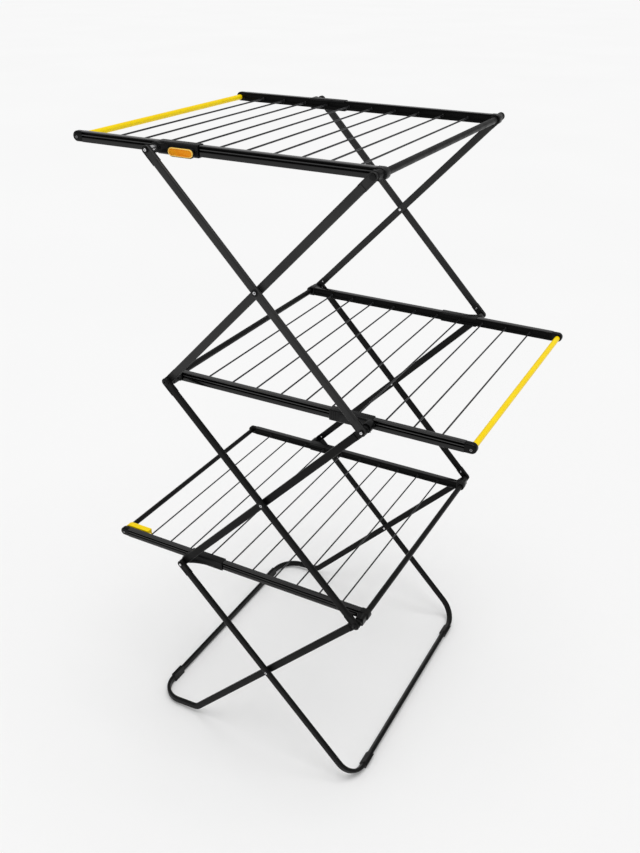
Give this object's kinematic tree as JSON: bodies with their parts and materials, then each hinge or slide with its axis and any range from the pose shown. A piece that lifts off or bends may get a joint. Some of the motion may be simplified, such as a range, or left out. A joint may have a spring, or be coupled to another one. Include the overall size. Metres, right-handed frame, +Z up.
{
  "type": "folding clothes airer",
  "caption": "Free-standing clothes airer with tiered wire racks that slide and fold flat on crossed legs, standing on bent tube foot frames.",
  "frame": {"origin": "on the floor, in the middle of the opened airer", "axes": "+Z up, +X along the rails towards the right foot frame, +Y across the wires towards the far side"},
  "size_m": [0.85, 0.6752, 1.3992],
  "materials": {
    "rail": "black coated extrusion, satin",
    "tube": "charcoal powder coat, satin",
    "wire": "dark grey coated wire, satin",
    "black_plastic": "moulded, lightly grained",
    "pad": "soft moulded, matt",
    "yellow_plastic": "moulded, semi-gloss",
    "orange_plastic": "moulded, semi-gloss",
    "rivet": "bright plated steel"
  },
  "bodies": {
    "bottom_rack": {"bottom_rail_near": "rail", "bottom_rail_far": "rail", "bottom_end_cap_near": "black_plastic", "bottom_end_cap_far": "black_plastic", "bottom_hinge_bracket_near": "black_plastic", "bottom_hinge_bracket_far": "black_plastic", "bottom_hinge_tube": "tube", "bottom_end_tube": "tube", "bottom_wires": "wire", "bottom_hinge_pin_near": "black_plastic", "bottom_hinge_pin_far": "black_plastic"},
    "left_foot": {"left_foot_frame": "tube", "left_foot_pad_near": "pad", "left_foot_pad_far": "pad", "bottom_cross_pin_near": "rivet", "bottom_cross_pin_far": "rivet"},
    "right_foot": {"right_foot_frame": "tube", "right_foot_pad_near": "pad", "right_foot_pad_far": "pad"},
    "bottom_sliders": {"bottom_slider_near": "black_plastic", "bottom_slider_far": "black_plastic"},
    "lower_outer_legs": {"lower_outer_leg_near": "tube", "lower_outer_leg_far": "tube"},
    "lower_inner_legs": {"lower_inner_leg_near": "tube", "lower_inner_leg_far": "tube", "middle_cross_pin_near": "rivet", "middle_cross_pin_far": "rivet"},
    "middle_rack": {"middle_rail_near": "rail", "middle_rail_far": "rail", "middle_end_cap_near": "black_plastic", "middle_end_cap_far": "black_plastic", "middle_hinge_bracket_near": "black_plastic", "middle_hinge_bracket_far": "black_plastic", "middle_hinge_tube": "tube", "middle_yellow_bar": "yellow_plastic", "middle_wires": "wire", "middle_hinge_pin_near": "black_plastic", "middle_hinge_pin_far": "black_plastic"},
    "middle_sliders": {"middle_slider_near": "black_plastic", "middle_slider_far": "black_plastic"},
    "upper_inner_legs": {"upper_inner_leg_near": "tube", "upper_inner_leg_far": "tube", "top_cross_pin_near": "rivet", "top_cross_pin_far": "rivet"},
    "upper_outer_legs": {"upper_outer_leg_near": "tube", "upper_outer_leg_far": "tube"},
    "top_rack": {"top_rail_near": "rail", "top_rail_far": "rail", "top_end_cap_near": "black_plastic", "top_end_cap_far": "black_plastic", "top_hinge_bracket_near": "black_plastic", "top_hinge_bracket_far": "black_plastic", "top_hinge_tube": "tube", "top_yellow_bar": "yellow_plastic", "top_wires": "wire"},
    "top_sliders": {"top_slider_near": "black_plastic", "top_slider_far": "black_plastic"},
    "lock_button": {"lock_button": "orange_plastic"},
    "carrying_clip": {"carrying_clip": "yellow_plastic"}
  },
  "joints": [
    {"name": "fold", "type": "hinge", "parent": "bottom_rack", "child": "left_foot", "pos_m": [0.22, 0, 0.47422], "axis": [0, 1, 0], "range_deg": [0, 43]},
    {"name": "foot_cross", "type": "hinge", "parent": "left_foot", "child": "right_foot", "pos_m": [0, 0, 0.24547], "axis": [0, 1, 0], "range_deg": [-86, 0]},
    {"name": "bottom_slider_pivot", "type": "hinge", "parent": "right_foot", "child": "bottom_sliders", "pos_m": [-0.22, 0, 0.47422], "axis": [0, 1, 0], "range_deg": [0, 43]},
    {"name": "lower_outer_leg_pivot", "type": "hinge", "parent": "bottom_rack", "child": "lower_outer_legs", "pos_m": [0.22, 0, 0.47422], "axis": [0, 1, 0], "range_deg": [-43, 0]},
    {"name": "lower_cross", "type": "hinge", "parent": "lower_outer_legs", "child": "lower_inner_legs", "pos_m": [0, 0, 0.70297], "axis": [0, 1, 0], "range_deg": [0, 86]},
    {"name": "middle_rack_pivot", "type": "hinge", "parent": "lower_outer_legs", "child": "middle_rack", "pos_m": [-0.22, 0, 0.93172], "axis": [0, 1, 0], "range_deg": [0, 43]},
    {"name": "middle_slider_pivot", "type": "hinge", "parent": "lower_inner_legs", "child": "middle_sliders", "pos_m": [0.22, 0, 0.93172], "axis": [0, 1, 0], "range_deg": [-43, 0]},
    {"name": "upper_inner_leg_pivot", "type": "hinge", "parent": "middle_rack", "child": "upper_inner_legs", "pos_m": [-0.22, 0, 0.93172], "axis": [0, 1, 0], "range_deg": [0, 43]},
    {"name": "upper_cross", "type": "hinge", "parent": "upper_inner_legs", "child": "upper_outer_legs", "pos_m": [0, 0, 1.16047], "axis": [0, 1, 0], "range_deg": [-86, 0]},
    {"name": "top_rack_pivot", "type": "hinge", "parent": "upper_inner_legs", "child": "top_rack", "pos_m": [0.22, 0, 1.38922], "axis": [0, 1, 0], "range_deg": [-43, 0]},
    {"name": "top_slider_pivot", "type": "hinge", "parent": "upper_outer_legs", "child": "top_sliders", "pos_m": [-0.22, 0, 1.38922], "axis": [0, 1, 0], "range_deg": [0, 43]},
    {"name": "lock_press", "type": "slide", "parent": "top_sliders", "child": "lock_button", "axis": [0, 1, 0], "range_m": [0, 0.003], "stiffness_N_per_m": 400, "springref_m": -0.004},
    {"name": "clip_swing", "type": "hinge", "parent": "bottom_rack", "child": "carrying_clip", "pos_m": [-0.415, -0.26925, 0.47142], "axis": [0, 1, 0], "range_deg": [-55, 0]}
  ],
  "couplings": [
    {"joint": "foot_cross", "follows": "fold", "ratio": -2},
    {"joint": "bottom_slider_pivot", "follows": "fold", "ratio": 1},
    {"joint": "lower_outer_leg_pivot", "follows": "fold", "ratio": -1},
    {"joint": "lower_cross", "follows": "fold", "ratio": 2},
    {"joint": "middle_rack_pivot", "follows": "fold", "ratio": 1},
    {"joint": "middle_slider_pivot", "follows": "fold", "ratio": -1},
    {"joint": "upper_inner_leg_pivot", "follows": "fold", "ratio": 1},
    {"joint": "upper_cross", "follows": "fold", "ratio": -2},
    {"joint": "top_rack_pivot", "follows": "fold", "ratio": -1},
    {"joint": "top_slider_pivot", "follows": "fold", "ratio": 1}
  ]
}
